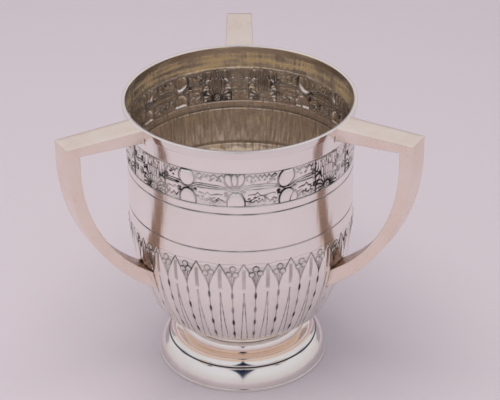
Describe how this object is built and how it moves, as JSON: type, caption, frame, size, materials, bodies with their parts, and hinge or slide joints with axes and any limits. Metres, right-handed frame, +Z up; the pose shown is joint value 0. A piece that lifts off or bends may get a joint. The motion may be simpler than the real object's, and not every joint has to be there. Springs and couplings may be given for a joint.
{
  "type": "loving cup",
  "caption": "Deep silver presentation cup with chased bands, a lip wire, square-section strap handles set around it, a ringed neck and a domed spreading foot.",
  "frame": {"origin": "on the cup's axis, in the plane the foot stands on", "axes": "+Z up the cup's axis, out of its mouth; +Y towards one handle, with the other two on either side of -Y; +X across them"},
  "size_m": [0.2178, 0.1933, 0.183],
  "materials": {
    "body_silver": "polished",
    "wire_silver": "polished",
    "foot_silver": "polished",
    "handle_silver": "satin"
  },
  "bodies": {
    "root": {"cup_body": "body_silver", "lip_wire": "wire_silver", "foot_collar": "foot_silver", "join_wire": "wire_silver", "foot_shell": "foot_silver", "foot_wire": "wire_silver", "handle_a_top_plate": "handle_silver", "handle_a_outer_strip": "handle_silver", "handle_a_under_plate": "handle_silver", "handle_a_inner_strip": "handle_silver", "handle_a_cheek_left": "handle_silver", "handle_a_cheek_right": "handle_silver", "handle_b_top_plate": "handle_silver", "handle_b_outer_strip": "handle_silver", "handle_b_under_plate": "handle_silver", "handle_b_inner_strip": "handle_silver", "handle_b_cheek_left": "handle_silver", "handle_b_cheek_right": "handle_silver", "handle_c_top_plate": "handle_silver", "handle_c_outer_strip": "handle_silver", "handle_c_under_plate": "handle_silver", "handle_c_inner_strip": "handle_silver", "handle_c_cheek_left": "handle_silver", "handle_c_cheek_right": "handle_silver"}
  },
  "joints": []
}
